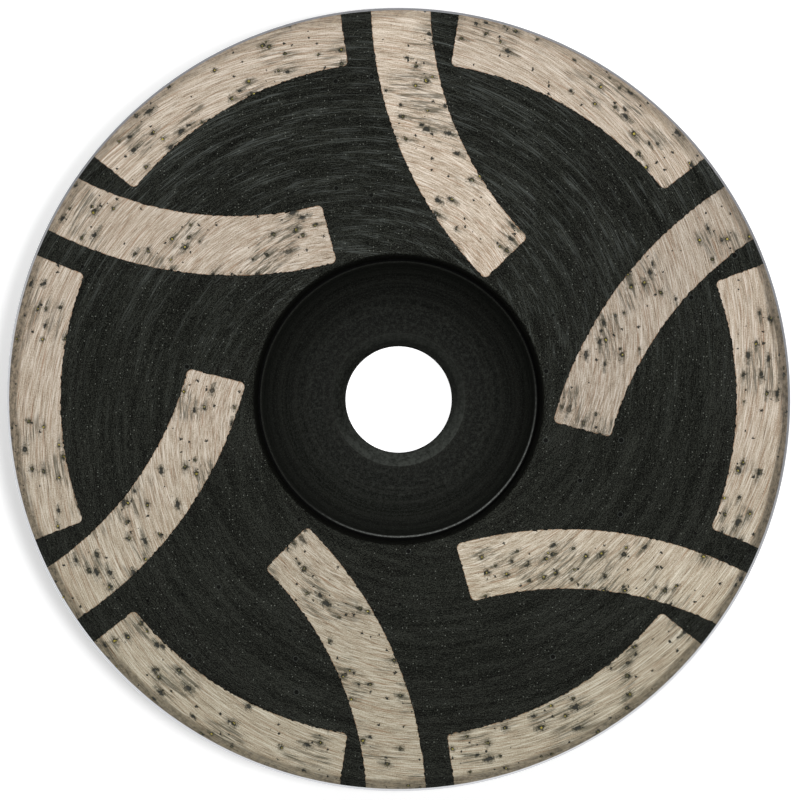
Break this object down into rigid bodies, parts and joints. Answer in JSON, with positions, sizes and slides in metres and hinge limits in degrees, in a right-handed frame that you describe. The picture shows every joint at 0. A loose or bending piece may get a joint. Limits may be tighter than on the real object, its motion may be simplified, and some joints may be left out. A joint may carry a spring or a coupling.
{
  "type": "cup grinding wheel",
  "caption": "Cup wheel for grinding stone: a dished steel body with a threaded hub, its flat face carrying swirl and rim diamond segments set flush in black cast resin.",
  "frame": {"origin": "on the wheel's axis, in the plane of the hub's back face, which it rests on", "axes": "+Z along the axis out of the grinding face; +X through the middle of a rim segment"},
  "size_m": [0.1, 0.1, 0.026],
  "materials": {
    "painted_steel": "satin",
    "cast_resin": "satin",
    "segment_bond": "matte"
  },
  "bodies": {
    "root": {"cup_body": "painted_steel", "resin_fill": "cast_resin", "rim_segment_1": "segment_bond", "rim_segment_2": "segment_bond", "rim_segment_3": "segment_bond", "rim_segment_4": "segment_bond", "rim_segment_5": "segment_bond", "rim_segment_6": "segment_bond", "swirl_segment_1": "segment_bond", "swirl_segment_2": "segment_bond", "swirl_segment_3": "segment_bond", "swirl_segment_4": "segment_bond", "swirl_segment_5": "segment_bond", "swirl_segment_6": "segment_bond"}
  },
  "joints": []
}
